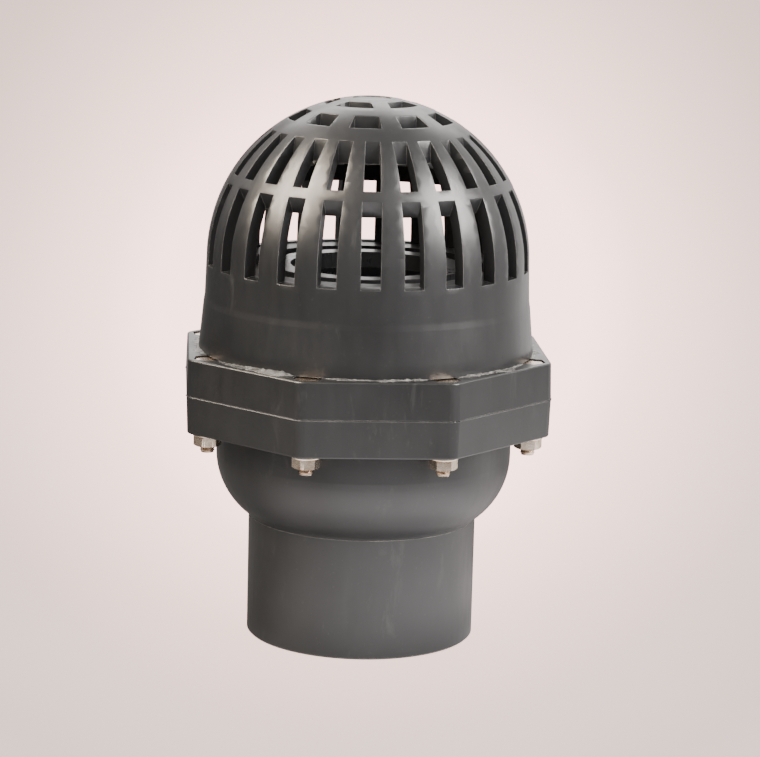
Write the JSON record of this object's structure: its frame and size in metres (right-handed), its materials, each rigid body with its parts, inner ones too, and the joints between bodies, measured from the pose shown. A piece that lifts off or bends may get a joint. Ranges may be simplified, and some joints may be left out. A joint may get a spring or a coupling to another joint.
{
  "type": "foot valve",
  "caption": "Plastic foot valve: pipe socket, bulb body, bolted octagonal flanges, a slotted dome strainer and a free ball that lifts off a conical seat inside.",
  "frame": {"origin": "centre of the pipe socket's mouth, on the face that the valve stands on", "axes": "+Z along the valve's axis from the pipe socket to the strainer's crown; -Y towards the flange flat that faces the front, 4.4 degrees off square"},
  "size_m": [0.2006, 0.2006, 0.295],
  "materials": {
    "strainer_plastic": "satin dark grey moulded PVC-U",
    "body_plastic": "satin dark grey moulded PVC-U",
    "seat_plastic": "machined dark grey PVC-U",
    "core_plastic": "turned dark grey PVC-U",
    "ball_rubber": "ground black EPDM",
    "seal_rubber": "smooth black EPDM",
    "stainless_steel": "plain stainless steel fasteners"
  },
  "bodies": {
    "valve": {"strainer_basket": "strainer_plastic", "inlet_body": "body_plastic", "seat_ring": "seat_plastic", "seat_o_ring": "seal_rubber", "flange_o_ring": "seal_rubber", "outlet_body": "body_plastic", "bolt_1": "stainless_steel", "bolt_2": "stainless_steel", "bolt_3": "stainless_steel", "bolt_4": "stainless_steel", "bolt_5": "stainless_steel", "bolt_6": "stainless_steel", "bolt_7": "stainless_steel", "bolt_8": "stainless_steel", "washer_1": "stainless_steel", "washer_2": "stainless_steel", "washer_3": "stainless_steel", "washer_4": "stainless_steel", "washer_5": "stainless_steel", "washer_6": "stainless_steel", "washer_7": "stainless_steel", "washer_8": "stainless_steel", "nut_1": "stainless_steel", "nut_2": "stainless_steel", "nut_3": "stainless_steel", "nut_4": "stainless_steel", "nut_5": "stainless_steel", "nut_6": "stainless_steel", "nut_7": "stainless_steel", "nut_8": "stainless_steel"},
    "ball": {"ball_core": "core_plastic", "ball_cover": "ball_rubber"}
  },
  "joints": [
    {"name": "ball_lift", "type": "slide", "parent": "valve", "child": "ball", "axis": [0, 0, 1], "range_m": [0, 0.028]}
  ]
}
